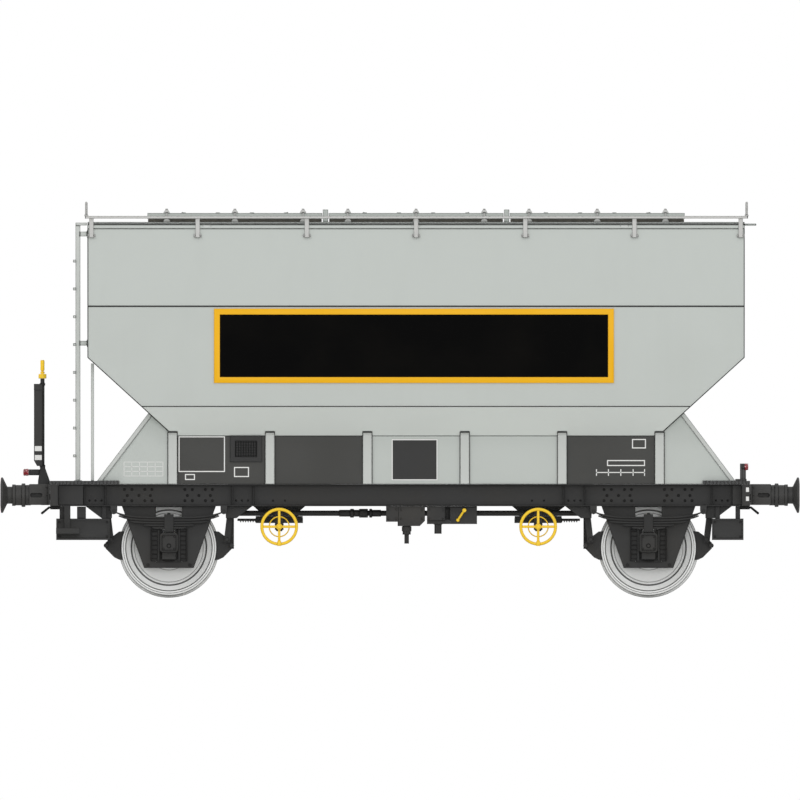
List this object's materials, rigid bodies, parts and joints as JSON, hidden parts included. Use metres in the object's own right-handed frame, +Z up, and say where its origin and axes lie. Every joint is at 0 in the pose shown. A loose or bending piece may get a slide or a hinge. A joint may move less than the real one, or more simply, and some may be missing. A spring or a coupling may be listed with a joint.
{
  "type": "two-axle grain hopper wagon",
  "caption": "Two-axle grain hopper wagon with roof lids, sloping hopper body, slide gates worked by handwheels, side buffers, leaf springs and an end platform with a hand brake.",
  "frame": {"origin": "middle of the wagon at the height of the wheels' flange tips", "axes": "+X along the wagon towards its plain end, -X to the brake platform, +Z up"},
  "size_m": [8.42, 2.67, 4.1692],
  "materials": {
    "wheel_white": "satin",
    "cast_iron": "matte",
    "frame_black": "satin",
    "dark_steel": "satin",
    "body_grey": "satin",
    "trim_grey": "satin",
    "yellow_paint": "satin",
    "sign_black": "satin",
    "white_paint": "satin",
    "red_lens": "gloss",
    "black_rubber": "matte"
  },
  "bodies": {
    "wagon": {"axlebox_a_far": "cast_iron", "axlebox_a_near": "cast_iron", "axlebox_b_far": "cast_iron", "axlebox_b_near": "cast_iron", "body_end_a": "body_grey", "body_end_b": "body_grey", "body_side_far": "body_grey", "body_side_near": "body_grey", "brake_beam_a_inner": "cast_iron", "brake_beam_a_outer": "cast_iron", "brake_beam_b_inner": "cast_iron", "brake_beam_b_outer": "cast_iron", "brake_pull_rod": "frame_black", "brake_stand": "frame_black", "brake_valve": "cast_iron", "buffer_a_far": "dark_steel", "buffer_a_near": "dark_steel", "buffer_b_far": "dark_steel", "buffer_b_near": "dark_steel", "cross_bearer_1": "frame_black", "cross_bearer_2": "frame_black", "cross_bearer_3": "frame_black", "deck_a": "frame_black", "deck_b": "frame_black", "draw_hook_a": "dark_steel", "draw_hook_b": "dark_steel", "end_box_a": "frame_black", "end_box_b": "frame_black", "hand_crank": "yellow_paint", "headstock_a": "frame_black", "headstock_b": "frame_black", "ladder": "trim_grey", "roof": "body_grey", "saddle": "body_grey", "side_frame_far": "trim_grey", "side_frame_near": "trim_grey", "solebar_far": "frame_black", "solebar_near": "frame_black", "spring_a_far": "cast_iron", "spring_a_near": "cast_iron", "spring_b_far": "cast_iron", "spring_b_near": "cast_iron", "step_far": "frame_black", "step_near": "frame_black", "walkway_far": "trim_grey", "walkway_near": "trim_grey"},
    "wheelset_a": {"axle_a": "cast_iron", "wheel_a_near": "wheel_white", "wheel_a_far": "wheel_white"},
    "wheelset_b": {"axle_b": "cast_iron", "wheel_b_near": "wheel_white", "wheel_b_far": "wheel_white"},
    "lid_1": {"lid_1": "body_grey"},
    "lid_2": {"lid_2": "body_grey"},
    "lid_3": {"lid_3": "body_grey"},
    "gate_a": {"gate_a": "dark_steel"},
    "gate_b": {"gate_b": "dark_steel"},
    "gate_shaft_a": {"gate_shaft_a": "yellow_paint"},
    "gate_shaft_b": {"gate_shaft_b": "yellow_paint"}
  },
  "joints": [
    {"name": "wheelset_a_roll", "type": "hinge", "parent": "wagon", "child": "wheelset_a", "pos_m": [-2.4335, 0, 0.528], "axis": [0, 1, 0], "continuous": true},
    {"name": "wheelset_b_roll", "type": "hinge", "parent": "wagon", "child": "wheelset_b", "pos_m": [2.6165, 0, 0.528], "axis": [0, 1, 0], "continuous": true},
    {"name": "lid_1_swing", "type": "hinge", "parent": "wagon", "child": "lid_1", "pos_m": [-1.7387, 0.44, 4.03], "axis": [-1, 0, 0], "range_deg": [0, 105]},
    {"name": "lid_2_swing", "type": "hinge", "parent": "wagon", "child": "lid_2", "pos_m": [0.169, 0.44, 4.03], "axis": [-1, 0, 0], "range_deg": [0, 105]},
    {"name": "lid_3_swing", "type": "hinge", "parent": "wagon", "child": "lid_3", "pos_m": [2.0767, 0.44, 4.03], "axis": [-1, 0, 0], "range_deg": [0, 105]},
    {"name": "gate_shaft_a_turn", "type": "hinge", "parent": "wagon", "child": "gate_shaft_a", "pos_m": [-1.272, 0, 0.75], "axis": [0, 1, 0], "range_deg": [0, 458]},
    {"name": "gate_a_slide", "type": "slide", "parent": "wagon", "child": "gate_a", "axis": [1, 0, 0], "range_m": [0, 0.4]},
    {"name": "gate_shaft_b_turn", "type": "hinge", "parent": "wagon", "child": "gate_shaft_b", "pos_m": [1.455, 0, 0.75], "axis": [0, -1, 0], "range_deg": [0, 458]},
    {"name": "gate_b_slide", "type": "slide", "parent": "wagon", "child": "gate_b", "axis": [-1, 0, 0], "range_m": [0, 0.4]}
  ],
  "couplings": [
    {"joint": "gate_a_slide", "follows": "gate_shaft_a_turn", "m_per_rad": 0.05},
    {"joint": "gate_b_slide", "follows": "gate_shaft_b_turn", "m_per_rad": 0.05}
  ]
}
